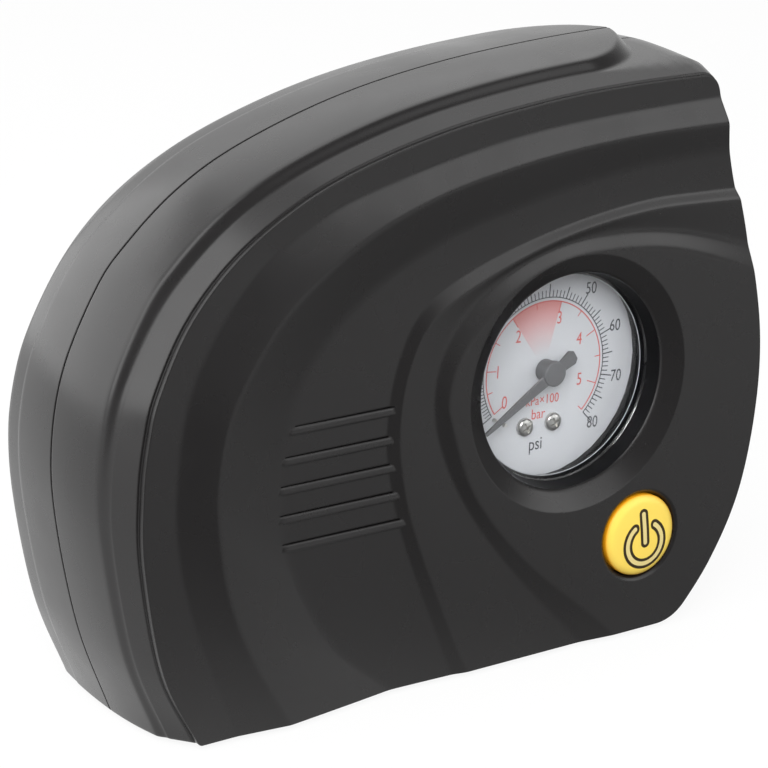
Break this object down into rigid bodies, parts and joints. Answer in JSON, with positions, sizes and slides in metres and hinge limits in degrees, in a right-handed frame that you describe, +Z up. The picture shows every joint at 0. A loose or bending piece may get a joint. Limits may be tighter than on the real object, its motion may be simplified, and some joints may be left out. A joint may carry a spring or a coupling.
{
  "type": "portable tire inflator",
  "caption": "Portable electric tire inflator: snail-shaped black case with a round pressure gauge, a yellow power button and louvre vents, over a motor-driven piston compressor.",
  "frame": {"origin": "middle of the footprint, on the plane of the rubber feet", "axes": "+X along the case to the gauge side, +Y from the front face to the rear, +Z up"},
  "size_m": [0.1634, 0.0579, 0.1304],
  "materials": {
    "shell_black": "satin black moulded plastic with a fine grain",
    "dark_plastic": "dull black moulded plastic",
    "button_yellow": "smooth yellow plastic",
    "rubber_black": "matte black rubber",
    "lens_clear": "clear polished plastic",
    "dial_white": "off-white painted sheet with black and red print",
    "needle_grey": "dark grey plastic",
    "steel": "bright zinc-plated steel",
    "brass": "plain turned brass",
    "alloy": "die-cast alloy",
    "nylon": "natural nylon",
    "ferrite": "dark grey sintered ferrite",
    "copper": "enamelled copper winding on a steel core",
    "wire_red": "red insulation",
    "wire_black": "black insulation",
    "hose": "black rubber hose"
  },
  "bodies": {
    "housing": {"front_shell": "shell_black", "rear_shell": "shell_black", "foot_1": "rubber_black", "foot_2": "rubber_black", "foot_3": "rubber_black", "foot_4": "rubber_black", "case_screw_1": "steel", "case_screw_2": "steel", "case_screw_3": "steel", "case_screw_4": "steel", "case_screw_5": "steel", "gauge_case": "dark_plastic", "gauge_lens": "lens_clear", "gauge_dial": "dial_white", "zero_stop_pin": "steel", "dial_screw_1": "steel", "dial_screw_2": "steel", "movement_frame": "brass", "bourdon_tube": "brass", "switch_body": "dark_plastic", "button_spring": "steel", "motor_can": "steel", "motor_magnet": "ferrite", "end_bell": "nylon", "motor_screw_1": "steel", "motor_screw_2": "steel", "frame": "alloy", "frame_screw_1": "steel", "frame_screw_2": "steel", "axle_bush": "brass", "cylinder": "alloy", "cylinder_head": "alloy", "tie_bolt_1": "steel", "tie_bolt_2": "steel", "delivery_tee": "brass", "gauge_tube": "hose", "outlet_tube": "hose", "outlet_fitting": "brass", "cable_gland": "rubber_black", "power_lead": "wire_red", "switched_lead": "wire_red", "return_lead": "wire_black"},
    "button": {"power_button": "button_yellow", "switch_plunger": "nylon"},
    "needle": {"needle": "needle_grey", "needle_spindle": "brass"},
    "sector": {"sector_gear": "brass"},
    "crank": {"drive_gear": "nylon", "gear_axle": "steel", "axle_clip": "steel", "crank_pin": "steel"},
    "rotor": {"motor_shaft": "steel", "armature": "copper", "motor_pinion": "brass"},
    "rod": {"connecting_rod": "alloy", "gudgeon_pin": "steel"},
    "piston": {"piston": "alloy", "piston_ring": "rubber_black"},
    "valve": {"valve_disc": "rubber_black"}
  },
  "joints": [
    {"name": "button_press", "type": "slide", "parent": "housing", "child": "button", "axis": [0, 1, 0], "range_m": [0, 0.0025], "stiffness_N_per_m": 600, "deforming": ["button_spring"]},
    {"name": "needle_turn", "type": "hinge", "parent": "housing", "child": "needle", "pos_m": [0.03055, -0.0142, 0.0609], "axis": [0, 1, 0], "range_deg": [0, 258]},
    {"name": "sector_turn", "type": "hinge", "parent": "housing", "child": "sector", "pos_m": [0.02125, -0.0108, 0.0609], "axis": [0, 1, 0], "range_deg": [-38.3, 0]},
    {"name": "crank_turn", "type": "hinge", "parent": "housing", "child": "crank", "pos_m": [-0.02275, -0.0026, 0.043], "axis": [1, 0, 0], "continuous": true},
    {"name": "rotor_turn", "type": "hinge", "parent": "housing", "child": "rotor", "pos_m": [-0.04445, -0.0026, 0.0214], "axis": [1, 0, 0], "continuous": true},
    {"name": "rod_swing", "type": "hinge", "parent": "crank", "child": "rod", "pos_m": [-0.01445, -0.0026, 0.048], "axis": [1, 0, 0], "continuous": true},
    {"name": "piston_stroke", "type": "slide", "parent": "housing", "child": "piston", "axis": [0, 0, 1], "range_m": [-0.01, 0]},
    {"name": "valve_lift", "type": "slide", "parent": "housing", "child": "valve", "axis": [0, 0, 1], "range_m": [0, 0.0015]}
  ],
  "couplings": [
    {"joint": "sector_turn", "follows": "needle_turn", "ratio": -0.14815},
    {"joint": "rotor_turn", "follows": "crank_turn", "ratio": -5},
    {"joint": "rod_swing", "follows": "crank_turn", "ratio": -1}
  ]
}
